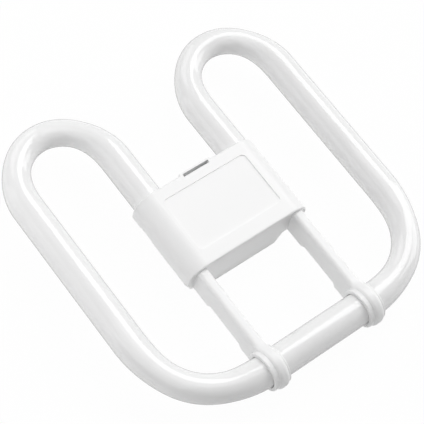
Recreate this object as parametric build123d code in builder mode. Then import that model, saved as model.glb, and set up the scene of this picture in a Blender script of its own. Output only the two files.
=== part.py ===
"""Square compact fluorescent lamp with a four pin cap, modelled as its separate pieces.

Millimetres, +Z up. The lamp lies on the flat rim round its pins, label side up. X runs
across the two loops and +Y towards their closed ends. The origin is under the middle of
the lamp, at the level of that rim.
"""
import os
from math import cos, hypot, pi
from build123d import *

os.makedirs("parts", exist_ok=True)

# Glass tube
limb_spacing = 63.4  # between the two inner limbs
loop_pitch = 61.3  # from an inner limb to its outer limb
glass_length = 208.0  # from the bottom run to the closed ends of the loops
tube_diameter = 19.6  # straight runs
loop_reach = 35.4  # loops' bends are a little longer than round
loop_diameter = 16.4  # glass is drawn in at the loops' closed ends
corner_reach = 57.0  # bottom corners, from where the two centrelines would meet
corner_pull = 37.8  # from the ends of a corner's curve to its two control points
corner_diameter = 17.4
draw_length = 30.0  # stretch of a bend over which the glass narrows
bend_sections = 24  # enough for the glass to follow its narrowing within 0.01 mm
tube_height = 21.5  # centreline above the rim that the lamp rests on

# Sealed ends of the glass, inside the cap
end_inset = 9.0  # from the cap's arm side to the glass dome
dome_length = 6.0
press_width = 11.0
press_thickness = 3.2
press_length = 5.0
lead_pitch = 6.0  # between the two wires of one end

# Cap
cap_distance = 93.5  # from the bottom run's centreline to the middle of the cap
cap_length = 55.0
cover_wall = 1.5
end_wall = 1.6
shoulder_radius = 11.6  # of the cover, round each inner limb
skirt_depth = 7.0  # cover's flanks reach this far below the tube's centreline
notch_length = 11.0
notch_depth = 1.8
notch_inset = 9.0  # from the cap's loop side
rim_rounding = 1.0
skirt_rounding = 2.5
glass_clearance = 0.25
part_clearance = 0.15

# Label recess in the cover, left bare
label_margin = 1.7  # from its side to an inner limb's centreline
label_inset = 8.75  # from its ends to the cap's ends
label_depth = 0.6
label_corner = 3.0
label_shift = 0.8  # towards the loops

# Catch for the lampholder's spring, on the cover's loop side
slot_width = 18.6
slot_gap = 1.9
catch_wall = 1.1
catch_projection = 1.1  # hoop beyond the cap's end
catch_margin = 1.6  # wall at each end of the slot
catch_height = 9.0

# Base
base_inset = 0.1  # base's wall on the arms' side lies this far inside the cover's rim
base_wall = 1.6
floor_gap = 0.3  # between the floor and the limbs above it
boss_width = 49.0  # flat rim that the lamp rests on
boss_flare = 57.0  # boss where it meets the floor
boss_rounding = 2.4
flare_rounding = 1.5
floor_rounding = 4.5
lip_height = 1.8  # base wall that stands up inside the cover's skirt
rib_height = 7.0
rib_count = 3
well_width = 27.0
well_length = 23.0
well_depth = 9.4
well_corner = 3.0

# Contact pins
pin_spacing = 10.0
pin_diameter = 2.35
pin_recess = 1.2  # tips stay inside the well
shank_diameter = 1.9  # where a pin passes through the well's roof
shank_clearance = 0.03
pin_tip_rounding = 0.5
flange_diameter = 4.0
flange_height = 0.8
tail_diameter = 2.0
tail_height = 3.0
wire_diameter = 0.6
wire_clearance = 0.1
wire_bend = 1.5
lead_run = 4.0  # from the press to the wires' turn towards the pins
lead_step = 0.8  # keeps the two wires of one side apart
lead_rise = 2.0  # above the pins' tails
lead_entry = 2.2  # length of wire inside a tail
lead_turn_x = 18.0

# Cement under the ends of the glass
cement_length = 5.0
cement_width = 8.0
cement_depth = 5.15  # its top, below the tube's centreline
cement_rounding = 1.0
cement_film = 0.05

# Arms and the clips that hold the bottom run
arm_offset = 3.3  # outside the inner limb's centreline
arm_width = 7.4
arm_top = 8.0  # above the tube's centreline
arm_drop = 9.9  # below it, at both ends of an arm
arm_rounding = 2.6
arm_relief = 2.5  # middle of the arm is this much shallower
relief_start = 23.0  # from the bottom run's centreline
relief_end = 50.0
arm_wall = 1.5
clip_radius = 13.4
clip_blend = 9.0  # hollow curve from the arm's top up to its clip
foot_blend = 2.0
collar_radius = 12.2
collar_left = 6.1  # from the arm's middle to the collar's left end, on both arms
collar_right = 4.7
collar_rounding = 0.5
clip_opening = 13.0  # mouth of the clip, on the side away from the label

# Places worked out from the sizes above
tube_radius = tube_diameter / 2
loop_radius = loop_pitch / 2
inner_x = limb_spacing / 2
outer_x = inner_x + loop_pitch
run_y = (clip_radius - glass_length + tube_radius) / 2
loop_y = run_y + glass_length - tube_radius - loop_diameter / 2 - loop_reach
corner_x = outer_x - corner_reach
corner_y = run_y + corner_reach
cap_y = run_y + cap_distance
arm_side_y = cap_y - cap_length / 2
loop_side_y = cap_y + cap_length / 2
dome_y = arm_side_y + end_inset + press_length
seat_radius = tube_radius + glass_clearance
cap_half_width = inner_x + shoulder_radius
cap_top = tube_height + shoulder_radius
skirt_foot = tube_height - skirt_depth
base_half_width = cap_half_width - cover_wall - part_clearance
base_arm_y = arm_side_y + base_inset
base_loop_y = loop_side_y - end_wall - part_clearance
base_length = base_loop_y - base_arm_y
rib_pitch = (base_loop_y - dome_y) / rib_count
rib_width = 2 * (base_half_width - inner_x) - base_wall
base_ceiling = cap_top - cover_wall - part_clearance
floor_top = tube_height - tube_radius - floor_gap
floor_height = floor_top - base_wall
well_roof = well_depth + base_wall
tail_top = well_roof + flange_height + tail_height
cement_height = tube_height - cement_depth - floor_top - part_clearance
label_width = 2 * (inner_x - label_margin)
label_length = cap_length - 2 * label_inset
arm_x = inner_x + arm_offset
sides = {"left": -1, "right": 1}
LOWER_EDGE = (Align.CENTER, Align.MIN)
pin_reach = pin_spacing / 2
pin_places = [
    (side * pin_reach, cap_y + row * pin_reach) for side in sides.values() for row in (-1, 1)
]


def glass_run(start, toward, length):
    """Straight run of glass."""
    with BuildSketch(Plane(origin=start, z_dir=toward)) as section:
        Circle(tube_radius)
    extrude(section.sketch, amount=length)


def sealed_limb(side, film=0, mode=Mode.ADD):
    """Inner limb of glass, domed where it ends in the cap."""
    start = (side * inner_x, loop_y, tube_height)
    toward = (0, -1, 0)
    radius = tube_radius + film
    shoulder = loop_y - dome_y - dome_length
    plane = Plane(origin=start, x_dir=toward, z_dir=Vector(toward).cross(Vector(0, 0, 1)))
    with BuildSketch(plane) as half:
        with BuildLine():
            Line((shoulder + dome_length + film, 0), (0, 0))
            Line((0, 0), (0, radius))
            Line((0, radius), (shoulder, radius))
            EllipticalCenterArc(
                (shoulder, 0), dome_length + film, radius, start_angle=0, arc_size=90
            )
        make_face()
    revolve(half.sketch, axis=Axis(start, toward), mode=mode)


def loop_curve(side):
    """Centreline of a loop's closed end, half an ellipse from limb to limb."""
    with BuildLine(Plane.XY.offset(tube_height)):
        centre = (side * (outer_x - loop_radius), loop_y)
        return EllipticalCenterArc(centre, loop_radius, loop_reach, start_angle=0, arc_size=180)


def corner_curve(side):
    """Centreline of a bottom corner, which starts to turn more gently than an arc."""
    with BuildLine(Plane.XY.offset(tube_height)):
        return Bezier(
            (side * corner_x, run_y),
            (side * (corner_x + corner_pull), run_y),
            (side * outer_x, corner_y - corner_pull),
            (side * outer_x, corner_y),
        )


def glass_bend(curve, narrow):
    """Bend of glass along a curve, drawn in to a narrow radius between its ends."""
    sections = []
    for number in range(bend_sections + 1):
        place = curve.length * number / bend_sections
        share = min(place, curve.length - place, draw_length) / draw_length
        with BuildSketch(
            Plane(
                origin=curve.position_at(place, position_mode=PositionMode.LENGTH),
                x_dir=(0, 0, 1),
                z_dir=curve.tangent_at(place, position_mode=PositionMode.LENGTH),
            )
        ) as section:
            Circle(narrow + (tube_radius - narrow) * (1 + cos(pi * share)) / 2)
        sections.append(section.sketch)
    sweep(sections=sections, path=curve, multisection=True)


def cap_arch(inset, foot):
    """Face under the cap's arch: flat top, shoulders round the limbs, straight flanks."""
    with Locations((0, foot)):
        Rectangle(2 * (cap_half_width - inset), cap_top - inset - foot, align=LOWER_EDGE)


def end_plane(y):
    """Plane across the cap at a given Y, facing the arms, with X across and Z up."""
    return Plane(origin=(0, y, 0), x_dir=(1, 0, 0), z_dir=(0, -1, 0))


def base_outline(top):
    """Face of the base across the cap: boss, floor and the side walls in the cover's skirt."""
    with BuildLine() as outline:
        FilletPolyline(
            (0, 0),
            (boss_width / 2, 0),
            (boss_flare / 2, floor_height),
            (base_half_width, floor_height),
            (base_half_width, top),
            radius=[boss_rounding, flare_rounding, floor_rounding],
        )
        Line((base_half_width, top), (0, top))
        mirror(about=Plane.YZ)
    make_face(outline.edges())


def clip_mouth():
    """Mouth of a clip, away from the label, cut from a face across the bottom run."""
    with Locations((run_y, tube_height)):
        Rectangle(
            clip_opening, 2 * clip_radius, align=(Align.CENTER, Align.MAX), mode=Mode.SUBTRACT
        )


def on_top_of_arm(edge):
    """True for the edges that run along the top of an arm and round its clip."""
    middle = edge.center()
    reach = hypot(middle.Y - run_y, middle.Z - tube_height)
    return middle.Z > tube_height and middle.Y < base_arm_y - arm_rounding and reach > collar_radius


def arm_outline():
    """Face of an arm and its clip, seen from the side."""
    top = tube_height + arm_top
    foot = tube_height - arm_drop
    root = base_arm_y + base_wall / 2
    with Locations((run_y, tube_height)):
        Circle(clip_radius)
    with BuildLine() as outline:
        Polyline(
            (run_y, top),
            (root, top),
            (root, foot),
            (run_y + relief_end + arm_relief, foot),
            (run_y + relief_end, foot + arm_relief),
            (run_y + relief_start, foot + arm_relief),
            (run_y + relief_start - arm_relief, foot),
            (run_y, foot),
            close=True,
        )
    make_face(outline.edges())


# Glass tube, one closed piece from end to end
with BuildPart() as tube:
    glass_run((corner_x, run_y, tube_height), (-1, 0, 0), 2 * corner_x)
    for side in sides.values():
        glass_bend(corner_curve(side), corner_diameter / 2)
        glass_run((side * outer_x, corner_y, tube_height), (0, 1, 0), loop_y - corner_y)
        glass_bend(loop_curve(side), loop_diameter / 2)
        sealed_limb(side)
        # Flat press that closes the end round its two wires
        with Locations((side * inner_x, dome_y + dome_length / 2, tube_height)):
            press_size = (press_width, press_length + dome_length / 2, press_thickness)
            Box(*press_size, align=(Align.CENTER, Align.MAX, Align.CENTER))
tube.part.label = "discharge_tube"
export_step(tube.part, "parts/discharge_tube.step")

# Cover: the upper moulding, open below and on the arms' side
with BuildPart() as cover:
    with BuildSketch(end_plane(loop_side_y)) as outside:
        cap_arch(0, skirt_foot)
        fillet(outside.vertices().group_by(Axis.Y)[-1], shoulder_radius)
    extrude(amount=cap_length)
    fillet(cover.edges().filter_by(Axis.X).group_by(Axis.Z)[0].sort_by(Axis.Y)[0], skirt_rounding)
    end_edges = cover.edges().filter_by(Plane.XZ)
    fillet(end_edges.filter_by(lambda edge: edge.center().Z > tube_height), rim_rounding)
    with BuildSketch(end_plane(loop_side_y - end_wall)) as inside:
        cap_arch(cover_wall, skirt_foot)
        fillet(inside.vertices().group_by(Axis.Y)[-1], shoulder_radius - cover_wall)
    extrude(amount=cap_length, mode=Mode.SUBTRACT)
    # Openings for the two limbs, open below so that the cover goes on from above
    with BuildSketch(end_plane(loop_side_y)):
        with Locations((-inner_x, tube_height), (inner_x, tube_height)):
            Circle(seat_radius)
            Rectangle(2 * seat_radius, 2 * skirt_depth, align=(Align.CENTER, Align.MAX))
    extrude(amount=end_wall, mode=Mode.SUBTRACT)
    # Bare recess where a label would go
    with BuildSketch(Plane.XY.offset(cap_top)):
        with Locations((0, cap_y + label_shift)):
            RectangleRounded(label_width, label_length, label_corner)
    extrude(amount=-label_depth, mode=Mode.SUBTRACT)
    # Hoop on the loop side, with the slot that the lampholder's spring hooks into
    with BuildSketch(Plane.XY.offset(cap_top)):
        with Locations((0, loop_side_y)):
            Rectangle(slot_width + 2 * catch_margin, 2 * catch_projection)
    extrude(amount=-catch_height)
    with BuildSketch(Plane.XY.offset(cap_top)):
        with Locations((0, loop_side_y + catch_projection - catch_wall)):
            Rectangle(slot_width, slot_gap, align=(Align.CENTER, Align.MAX))
    extrude(amount=skirt_foot - cap_top, mode=Mode.SUBTRACT)
    # Shallow notch in the foot of each flank
    with Locations((0, loop_side_y - notch_inset, skirt_foot)):
        Box(
            2 * cap_half_width,
            notch_length,
            notch_depth,
            align=(Align.CENTER, Align.MAX, Align.MIN),
            mode=Mode.SUBTRACT,
        )
cover.part.label = "cap_cover"
export_step(cover.part, "parts/cap_cover.step")

# Arm of the base with its clip, rounded above and hollow below
with BuildPart() as arm:
    with BuildSketch(Plane.YZ.offset(arm_x - arm_width / 2)) as side_view:
        arm_outline()
        meetings = side_view.vertices().sort_by_distance((run_y, tube_height))[:2]
        fillet(meetings.sort_by(Axis.Y)[-1], clip_blend)
        meetings = side_view.vertices().sort_by_distance((run_y, tube_height))[:2]
        fillet(meetings.sort_by(Axis.Y)[0], foot_blend)
        clip_mouth()
    extrude(amount=arm_width)
    fillet(arm.faces().filter_by(Axis.X).edges().filter_by(on_top_of_arm), arm_rounding)
    with BuildSketch(Plane.YZ.offset(arm_x - collar_left)):
        with Locations((run_y, tube_height)):
            Circle(collar_radius)
        clip_mouth()
    extrude(amount=collar_left + collar_right)
    collar_ends = arm.faces().filter_by(Axis.X).sort_by(Axis.X)
    for end in (collar_ends[0], collar_ends[-1]):
        fillet(end.edges().filter_by(GeomType.CIRCLE), collar_rounding)
    with BuildSketch(Plane.YZ.offset(arm_x - collar_left)):
        with Locations((run_y, tube_height)):
            Circle(seat_radius)
    extrude(amount=collar_left + collar_right, mode=Mode.SUBTRACT)
    with BuildSketch(Plane.XY.offset(tube_height - arm_drop)):
        with Locations((arm_x, run_y + clip_radius + arm_wall)):
            groove_length = base_arm_y - run_y - clip_radius - arm_wall
            Rectangle(arm_width - 2 * arm_wall, groove_length, align=LOWER_EDGE)
    extrude(amount=arm_drop + arm_top - arm_wall, mode=Mode.SUBTRACT)

# Base: the lower moulding, with the pin well, the limbs' beds, the arms and their clips
with BuildPart() as base:
    with BuildSketch(end_plane(base_loop_y)):
        base_outline(skirt_foot + lip_height)
    extrude(amount=base_length)
    with BuildSketch(end_plane(base_loop_y - base_wall)):
        base_outline(cap_top)
        offset(amount=-base_wall, mode=Mode.REPLACE)
    extrude(amount=base_length - 2 * base_wall, mode=Mode.SUBTRACT)
    # End wall under the cover's rim, and the lower one beside the limbs
    with BuildSketch(end_plane(base_arm_y + base_wall)) as wall:
        cap_arch(cover_wall + part_clearance, skirt_foot)
        fillet(wall.vertices().group_by(Axis.Y)[-1], shoulder_radius - cover_wall - part_clearance)
    extrude(amount=base_wall)
    with BuildSketch(end_plane(base_loop_y)):
        with Locations((0, floor_top)):
            Rectangle(2 * (inner_x - seat_radius), base_ceiling - floor_top, align=LOWER_EDGE)
            Rectangle(2 * base_half_width, tube_height - floor_top, align=LOWER_EDGE)
    extrude(amount=base_wall)
    # Ribs that carry the limbs
    for number in range(rib_count):
        rib_y = base_loop_y - (number + 1) * rib_pitch
        with BuildSketch(end_plane(rib_y)):
            with Locations((-inner_x, floor_top), (inner_x, floor_top)):
                Rectangle(rib_width, rib_height, align=LOWER_EDGE)
        extrude(amount=base_wall)
    with BuildSketch(end_plane(base_loop_y)):
        with Locations((-inner_x, tube_height), (inner_x, tube_height)):
            Circle(seat_radius)
    extrude(amount=base_loop_y - dome_y, mode=Mode.SUBTRACT)
    # Well round the pins
    with BuildSketch(Plane.XY):
        with Locations((0, cap_y)):
            RectangleRounded(
                well_width + 2 * base_wall, well_length + 2 * base_wall, well_corner + base_wall
            )
    extrude(amount=well_roof)
    with BuildSketch(Plane.XY):
        with Locations((0, cap_y)):
            RectangleRounded(well_width, well_length, well_corner)
    extrude(amount=well_depth, mode=Mode.SUBTRACT)
    with BuildSketch(Plane.XY):
        with Locations((0, cap_y)), GridLocations(pin_spacing, pin_spacing, 2, 2):
            Circle(shank_diameter / 2 + shank_clearance)
    extrude(amount=well_roof, mode=Mode.SUBTRACT)
    # Both arms have the wide end of their collar on the left
    add(arm.part)
    add(Pos(-2 * arm_x, 0, 0) * arm.part)
base.part.label = "cap_base"
export_step(base.part, "parts/cap_base.step")

# Contact pins, turned, with a shoulder under the roof of the well and a drilled tail for the wire
for number, (x, y) in enumerate(pin_places, start=1):
    with BuildPart() as pin:
        with BuildSketch(Plane(origin=(x, y, 0), x_dir=(1, 0, 0), z_dir=(0, -1, 0))) as half:
            with BuildLine():
                Polyline(
                    (0, pin_recess),
                    (pin_diameter / 2, pin_recess),
                    (pin_diameter / 2, well_depth),
                    (shank_diameter / 2, well_depth),
                    (shank_diameter / 2, well_roof),
                    (flange_diameter / 2, well_roof),
                    (flange_diameter / 2, well_roof + flange_height),
                    (tail_diameter / 2, well_roof + flange_height),
                    (tail_diameter / 2, tail_top),
                    (wire_diameter / 2 + wire_clearance, tail_top),
                    (wire_diameter / 2 + wire_clearance, well_roof),
                    (0, well_roof),
                    close=True,
                )
            make_face()
            fillet(half.vertices().group_by(Axis.Y)[0].sort_by(Axis.X)[-1], pin_tip_rounding)
        revolve(axis=Axis((x, y, 0), (0, 0, 1)))
    pin.part.label = f"contact_pin_{number}"
    export_step(pin.part, f"parts/{pin.part.label}.step")

# Lead wires, from each press of the glass into the tails of the two pins on its side
number = 0
for side in sides.values():
    for row in (-1, 1):
        number += 1
        start_x = side * (inner_x - row * lead_pitch / 2)
        pin_x = side * pin_reach
        pin_y = cap_y + row * pin_reach
        lead_y = dome_y - press_length - lead_run - row * lead_step
        lead_z = tail_top + lead_rise + row * lead_step
        with BuildPart() as lead:
            with BuildLine() as route:
                FilletPolyline(
                    (start_x, dome_y - press_length, tube_height),
                    (start_x, lead_y, tube_height),
                    (side * lead_turn_x, lead_y, lead_z),
                    (pin_x, pin_y, lead_z),
                    (pin_x, pin_y, tail_top - lead_entry),
                    radius=wire_bend,
                )
            with BuildSketch(Plane(origin=route.line @ 0, z_dir=route.line % 0)):
                Circle(wire_diameter / 2)
            sweep()
        lead.part.label = f"lead_wire_{number}"
        export_step(lead.part, f"parts/{lead.part.label}.step")

# Cement that fills the space under each dome of the glass
for name, side in sides.items():
    with BuildPart() as cement:
        with BuildSketch(end_plane(dome_y + cement_length)):
            with Locations((side * inner_x, floor_top + part_clearance)):
                Rectangle(cement_width, cement_height, align=LOWER_EDGE)
        extrude(amount=cement_length - part_clearance)
        fillet(cement.edges().filter_by(Axis.Z), cement_rounding)
        sealed_limb(side, film=cement_film, mode=Mode.SUBTRACT)
    cement.part.label = f"tube_cement_{name}"
    export_step(cement.part, f"parts/{cement.part.label}.step")
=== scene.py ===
# %% [markdown]
# # A square compact fluorescent lamp
# This lamp is one long glass tube, bent flat into two loops, with both of its ends
# sealed inside a small plastic cap. Two arms reach down from the cap and clip onto the
# bottom run of the tube. The construction comes ready made as a fixed frame, so this
# file only adds what the frame can't hold: light, a camera and the finish of each
# surface. We start by loading that frame. Nothing that we add may make the lamp
# bigger.

import math

import bmesh
import bpy
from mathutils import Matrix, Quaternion, Vector


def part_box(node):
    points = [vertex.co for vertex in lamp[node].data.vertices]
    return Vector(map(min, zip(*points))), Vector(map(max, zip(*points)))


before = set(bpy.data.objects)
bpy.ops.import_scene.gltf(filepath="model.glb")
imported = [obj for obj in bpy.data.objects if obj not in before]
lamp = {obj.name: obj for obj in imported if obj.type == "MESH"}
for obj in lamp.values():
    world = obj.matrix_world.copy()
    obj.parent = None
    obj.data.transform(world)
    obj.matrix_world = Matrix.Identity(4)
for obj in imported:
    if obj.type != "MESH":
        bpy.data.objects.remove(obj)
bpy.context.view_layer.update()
print("pieces", sorted(lamp))

# %% [markdown]
# ## The camera
# A camera is a place, a point it looks at, a turn round its line of sight, and a lens.
# These four were worked out from the outline of the lamp as a photographer would see
# it lying on a table: from well above, over its lower left corner. The long lens keeps
# the loops almost parallel. Blender's lens length goes with a sensor 36 mm wide.

# %% Place the camera
camera_place = Vector((-0.34907, -0.25359, 0.79744))
camera_aim = Vector((-0.00431, 0.00337, 0.02150))
camera_roll = math.radians(18.363)
focal_length = 129.2
sensor_width = 36.0

camera_data = bpy.data.cameras.new("camera")
camera_data.lens = focal_length
camera_data.sensor_width = sensor_width
camera = bpy.data.objects.new("camera", camera_data)
camera.location = camera_place
camera.rotation_mode = "QUATERNION"
line_of_sight = (camera_aim - camera_place).to_track_quat("-Z", "Y")
camera.rotation_quaternion = line_of_sight @ Quaternion((0, 0, 1), camera_roll)
bpy.context.scene.collection.objects.link(camera)
bpy.context.scene.camera = camera
print("camera looks from", round((camera_aim - camera_place).length, 3), "m away")

# %% [markdown]
# ## Arithmetic on sockets
# A procedural finish is a sum worked out at every point of a surface. Blender draws
# that sum as nodes joined by wires, which are slow to read. The small class below wraps
# one socket, so that `0.3 + 0.1 * grain` adds the two Math nodes by itself, and
# `place < edge` gives 1 on one side of an edge and 0 on the other. Any other kind of
# node comes from its method `node`.


# %% A socket with Python's arithmetic
class Shade:
    """One socket of a material. Arithmetic adds Math nodes, and node() adds any other."""

    def __init__(self, tree, socket=None):
        self.tree = tree
        self.socket = socket

    def node(self, kind, settings=(), values=(), output=0):
        """Adds a node, sets it up, fills its inputs and returns one of its outputs."""
        made = self.tree.nodes.new(kind)
        for name, setting in dict(settings).items():
            setattr(made, name, setting)
        for name, value in dict(values).items():
            self.fill(made.inputs[name], value)
        return Shade(self.tree, made.outputs[output] if made.outputs else None)

    def fill(self, target, value):
        """Joins a socket to another, or sets it to a plain value."""
        if isinstance(value, Shade):
            self.tree.links.new(value.socket, target)
        else:
            target.default_value = value

    def maths(self, operation, first, second=0.0):
        """Adds one Math node, which works on one or two numbers."""
        return self.node("ShaderNodeMath", {"operation": operation}, {0: first, 1: second})

    def __add__(self, other):
        return self.maths("ADD", self, other)

    def __sub__(self, other):
        return self.maths("SUBTRACT", self, other)

    def __rsub__(self, other):
        return self.maths("SUBTRACT", other, self)

    def __mul__(self, other):
        return self.maths("MULTIPLY", self, other)

    def __lt__(self, other):
        return self.maths("LESS_THAN", self, other)

    def __abs__(self):
        return self.maths("ABSOLUTE", self)

    __radd__ = __add__
    __rmul__ = __mul__


print("arithmetic ready")

# %% [markdown]
# ## Helpers for finishes
# Every finish is one Principled shader. What is the same all over the surface is set
# on the shader's own sockets, and only what changes from place to place gets nodes.
# Almost every change is a soft random pattern, so `grain` makes one with spots of a
# given size in metres, and `mixed` goes from one colour to another by such a pattern.


# %% Start and wear a finish
def start_finish(name, steady):
    """A new material with its steady values set. Returns it, its sockets and its shader."""
    material = bpy.data.materials.new(name)
    material.use_nodes = True
    shader = material.node_tree.nodes["Principled BSDF"]
    for socket_name, value in steady.items():
        shader.inputs[socket_name].default_value = value
    return material, Shade(material.node_tree), shader


def wear(pieces, material):
    """Puts one finish on whole pieces."""
    for piece in pieces:
        piece.data.materials.clear()
        piece.data.materials.append(material)
    print(material.name, "on", [piece.name for piece in pieces])


# %% Patterns and colours
def grey(level):
    """A grey colour, from black at 0 to white at 1."""
    return (level, level, level, 1.0)


def place_on(shade):
    """Where a point is on the lamp, in metres."""
    return shade.node("ShaderNodeTexCoord", output="Object")


def grain(shade, size, detail=2.0):
    """Soft random pattern, from 0 to 1, whose spots are about size metres wide."""
    fields = {"Vector": place_on(shade), "Scale": 1 / size, "Detail": detail}
    return shade.node("ShaderNodeTexNoise", values=fields)


def mixed(shade, share, first, second):
    """Colour that goes from first to second as share goes from 0 to 1."""
    fields = {"Factor": share, "A": first, "B": second}
    return shade.node("ShaderNodeMix", {"data_type": "RGBA"}, fields, output="Result")


def roughened(shade, shader, height, depth):
    """Makes a surface look uneven by depth metres where height goes from 0 to 1."""
    bump = shade.node("ShaderNodeBump", values={"Height": height, "Distance": depth})
    shade.fill(shader.inputs["Normal"], bump)


print("finish helpers ready")

# %% [markdown]
# ## The glass
# The tube is clear glass with a white powder baked onto its inside. So the colour is
# the powder's, nearly white, with faint clouds where the powder dried thinner. The
# shine is the glass's, sharp and clear, and drawn glass is never quite true: a bump too
# long to see by itself makes the bright lines along the tube waver a little. Where the
# tube is seen edge on, its colour is painted darker, a fine grey line along both sides
# of the tube: partly the clear wall hiding the powder, partly painted shade for the
# shaded table that the glass reflects there. Layer Weight tells us how nearly edge on
# each point is.

# %% Coated glass
powder_thin, powder_thick = grey(0.88), grey(0.92)
powder_patch = 0.035
# Painted edge shade: the grey painted along both sides of the tube where it is seen edge on.
clear_wall_and_painted_shade = grey(0.3)
edge_shade_starts, edge_shade_ends = 0.6, 0.94
draw_wave = 0.06
draw_depth = 0.00004

glass, shade, shader = start_finish("coated_glass", {"Roughness": 0.05, "IOR": 1.5})
powder = mixed(shade, grain(shade, powder_patch), powder_thin, powder_thick)
edge_on = shade.node("ShaderNodeLayerWeight", values={"Blend": 0.5}, output="Facing")
edge_shade_range = {"Value": edge_on, "From Min": edge_shade_starts, "From Max": edge_shade_ends}
edge_shade_share = shade.node("ShaderNodeMapRange", values=edge_shade_range)
# The powder colour is painted towards that grey as the tube turns edge on.
shade.fill(shader.inputs["Base Color"], mixed(shade, edge_shade_share, powder, clear_wall_and_painted_shade))
roughened(shade, shader, grain(shade, draw_wave, detail=0.0), draw_depth)
wear([lamp["discharge_tube"]], glass)

# %% [markdown]
# ## The plastic
# The cap is moulded in white heat-proof plastic. A polished mould gives it a satin
# skin: not as sharp as the glass, with a very fine grain that softens reflections. Only
# the floor of the label recess is left matt and chalky, so that a label would hold. It
# is found by its place: inside the recess's rectangle and below the cap's top.

# %% Where the recess is
recess_middle_y = 0.0019
recess_half_width, recess_half_length = 0.0302, 0.0190
recess_edge = 0.0003

plastic, shade, shader = start_finish("white_plastic", {"IOR": 1.5})
axes = shade.node("ShaderNodeSeparateXYZ", values={"Vector": place_on(shade)})
x, y, z = (Shade(shade.tree, socket) for socket in axes.socket.node.outputs)
beside = abs(x) < recess_half_width
along = abs(y - recess_middle_y) < recess_half_length
cap_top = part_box("cap_cover")[1].z
below = z < cap_top - recess_edge
recess = beside * along * below
print("recess lies just under", round(1000 * cap_top, 1), "mm above the table")

# %% Moulded plastic
plastic_worn, plastic_fresh, plastic_recess = grey(0.90), grey(0.92), grey(0.95)
skin_roughness, patch_roughness, recess_roughness = 0.34, 0.08, 0.25
plastic_patch = 0.012
plastic_grain = 0.0004
grain_depth = 0.00001

patches = grain(shade, plastic_patch)
skin_color = mixed(shade, patches, plastic_worn, plastic_fresh)
shade.fill(shader.inputs["Base Color"], mixed(shade, recess, skin_color, plastic_recess))
roughness = skin_roughness + patch_roughness * patches + recess_roughness * recess
shade.fill(shader.inputs["Roughness"], roughness)
roughened(shade, shader, grain(shade, plastic_grain), grain_depth)
wear([lamp["cap_cover"], lamp["cap_base"]], plastic)

# %% [markdown]
# ## Metal and cement
# The four pins are turned brass, with a tarnish in small clouds that dulls them. The
# wires that join them to the glass are tinned, a bright grey metal. Both are hidden
# inside the cap or its well, so a cloud in colour and roughness is enough. The cement
# under each glass end is a dull, gritty paste that was pressed in wet.

# %% Brass, tin and cement
brass_tarnished, brass_bright = (0.62, 0.50, 0.26, 1.0), (0.78, 0.66, 0.38, 1.0)
tin_dull, tin_bright = grey(0.55), grey(0.72)
cement_dark, cement_pale = (0.55, 0.52, 0.46, 1.0), (0.72, 0.70, 0.64, 1.0)
finishes = {  # name, metallic, spots, darker, paler, roughness, change of it in a pale spot
    "contact_pin": ("pin_brass", 1.0, 0.002, brass_tarnished, brass_bright, 0.42, -0.2),
    "lead_wire": ("tinned_wire", 1.0, 0.001, tin_dull, tin_bright, 0.50, -0.2),
    "tube_cement": ("cement", 0.0, 0.0008, cement_dark, cement_pale, 0.90, -0.1),
}
for start, (name, metal, spot, dark, pale, roughness, change) in finishes.items():
    finish, shade, shader = start_finish(name, {"Metallic": metal})
    cloud = grain(shade, spot, detail=4.0)
    shade.fill(shader.inputs["Base Color"], mixed(shade, cloud, dark, pale))
    shade.fill(shader.inputs["Roughness"], roughness + change * cloud)
    wear([lamp[node] for node in sorted(lamp) if node.startswith(start)], finish)

# %% [markdown]
# ## The table
# The lamp lies on a white table that fades into a white room. To the camera, and in
# what glass and metal reflect, the table is almost plain white light, and the rest is
# real chalky paint, which keeps the lamp's faint shadow. Light that falls on the table
# and scatters sees only the paint, so the table never lights the lamp by itself. The
# sheet lies a hair below the lamp, so that no two surfaces share a place, and it is
# clear from underneath, so that the lamp's back with its pins can be looked at too.

# %% Table
table_half = 4.0
table_gap = 0.0001
table_white = 0.97
paint, sheet_white = grey(0.88), grey(1.0)

sheet = bmesh.new()
bmesh.ops.create_grid(sheet, x_segments=1, y_segments=1, size=table_half)
table_mesh = bpy.data.meshes.new("table")
sheet.to_mesh(table_mesh)
sheet.free()
table = bpy.data.objects.new("table", table_mesh)
table.location.z = -table_gap
bpy.context.scene.collection.objects.link(table)
print("table is", 2 * table_half, "m wide")

# %% Table's finish
table_finish = bpy.data.materials.new("table")
table_finish.use_nodes = True
table_finish.node_tree.nodes.clear()
shade = Shade(table_finish.node_tree)


def seen_rays(shade):
    """1 for light that goes to the camera or into a reflection or a clear material."""
    path = shade.node("ShaderNodeLightPath").socket.node.outputs
    seen = Shade(shade.tree, path["Is Camera Ray"])
    for kind in ("Is Glossy Ray", "Is Transmission Ray"):
        seen = shade.maths("MAXIMUM", seen, Shade(shade.tree, path[kind]))
    return seen


plain = shade.node("ShaderNodeEmission", values={"Color": sheet_white, "Strength": 1.0})
painted = shade.node("ShaderNodeBsdfDiffuse", values={"Color": paint})
share = table_white * seen_rays(shade)
white_top = shade.node("ShaderNodeMixShader", values={0: share, 1: painted, 2: plain})
underneath = shade.node("ShaderNodeNewGeometry", output="Backfacing")
clear = shade.node("ShaderNodeBsdfTransparent")
surface = shade.node("ShaderNodeMixShader", values={0: underneath, 1: white_top, 2: clear})
shade.node("ShaderNodeOutputMaterial", values={"Surface": surface})
wear([table], table_finish)

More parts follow.
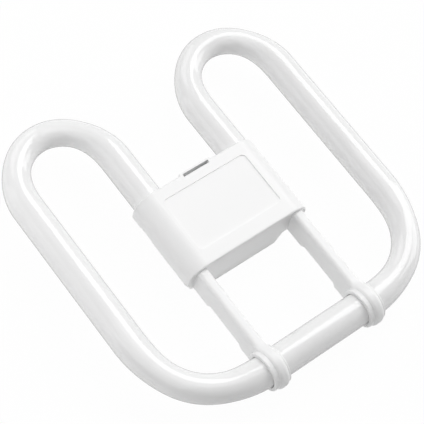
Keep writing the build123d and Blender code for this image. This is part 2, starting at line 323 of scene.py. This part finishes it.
# %% [markdown]
# ## The room
# Around the table the room is evenly lit from everywhere, as by white walls. That light
# is dim, so that the soft boxes shape the lamp, but the camera sees the room as white.

# %% Room
room_light = 0.2
room = bpy.data.worlds.new("room")
bpy.context.scene.world = room
room.use_nodes = True
room.node_tree.nodes.clear()
shade = Shade(room.node_tree)
camera_ray = shade.node("ShaderNodeLightPath", output="Is Camera Ray")
strength = room_light + (1 - room_light) * camera_ray
sky = shade.node("ShaderNodeBackground", values={"Color": sheet_white, "Strength": strength})
shade.node("ShaderNodeOutputWorld", values={"Surface": sky})
print("room lights the lamp at", room_light, "of white")

# %% [markdown]
# ## The soft boxes
# A soft box is a lit white sheet. Its size decides how wide the bright line along the
# glass is, and its direction decides on which side of the tube the line runs. Each is
# given by its compass angle round the lamp, its height angle, its distance, its width
# and height in metres and its power, and it faces the middle of the lamp.

# %% Soft boxes
boxes = {
    "key": (23, 53, 1.5, 0.95, 0.8, 9.2),
    "right": (350, 25, 1.5, 0.9, 0.9, 6.6),
    "back": (90, 30, 1.5, 0.8, 0.8, 2.9),
    "top": (0, 89, 1.5, 0.8, 0.8, 2.5),
    "left": (195, 50, 0.6, 0.45, 0.45, 0.66),
    "left_low": (150, 20, 0.6, 0.45, 0.45, 0.84),
}
for name, (compass, height, distance, width, tall, power) in boxes.items():
    around, up = math.radians(compass), math.radians(height)
    flat = distance * math.cos(up)
    place = Vector((flat * math.cos(around), flat * math.sin(around), distance * math.sin(up)))
    light = bpy.data.lights.new(name, "AREA")
    light.shape = "RECTANGLE"
    light.size = width
    light.size_y = tall
    light.energy = power
    box = bpy.data.objects.new(name, light)
    box.location = place
    box.rotation_mode = "QUATERNION"
    box.rotation_quaternion = (-place).to_track_quat("-Z", "Y")
    bpy.context.scene.collection.objects.link(box)
    print(name, "box at", [round(side, 2) for side in place])

# %% [markdown]
# ## Colours
# Colours are shown as they are, with no film look.

# %% Finish
bpy.context.scene.view_settings.view_transform = "Standard"
